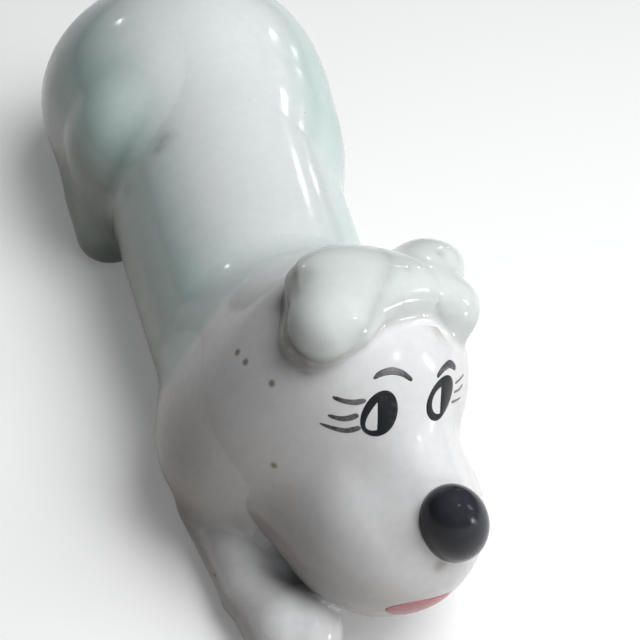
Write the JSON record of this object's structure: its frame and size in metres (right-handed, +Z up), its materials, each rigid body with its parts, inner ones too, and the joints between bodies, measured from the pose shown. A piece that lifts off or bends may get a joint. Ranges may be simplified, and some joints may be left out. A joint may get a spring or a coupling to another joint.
{
  "type": "porcelain dog figurine",
  "caption": "Glazed porcelain dog figurine lying down with its head turned, folded ears, painted eyes and lashes, a black nose, a pale green body and white head and paws.",
  "frame": {"origin": "on the table under the middle of the figure", "axes": "+Z up, -Y the way the body faces, +X the side of the left legs"},
  "size_m": [0.0738, 0.2042, 0.0781],
  "materials": {
    "celadon_glaze": "glossy pale celadon green glaze on porcelain",
    "white_glaze": "glossy white glaze on porcelain, with pinholes",
    "ear_glaze": "glossy white glaze with a green tint",
    "black_glaze": "glossy black glaze",
    "ink_enamel": "brushed dark grey enamel",
    "rose_enamel": "brushed rose enamel"
  },
  "bodies": {
    "root": {"body_shell": "celadon_glaze", "hind_leg_right": "celadon_glaze", "hind_leg_left": "celadon_glaze", "tail": "celadon_glaze", "head_shell": "white_glaze", "front_leg_right": "white_glaze", "front_leg_left": "white_glaze", "forelock": "ear_glaze", "ear_right": "ear_glaze", "ear_left": "ear_glaze", "nose": "black_glaze", "mouth": "rose_enamel", "eye_right": "ink_enamel", "brow_right": "ink_enamel", "eye_left": "ink_enamel", "brow_left": "ink_enamel", "lash_right_1": "ink_enamel", "lash_right_2": "ink_enamel", "lash_right_3": "ink_enamel", "lash_left_1": "ink_enamel", "lash_left_2": "ink_enamel", "lash_left_3": "ink_enamel"}
  },
  "joints": []
}
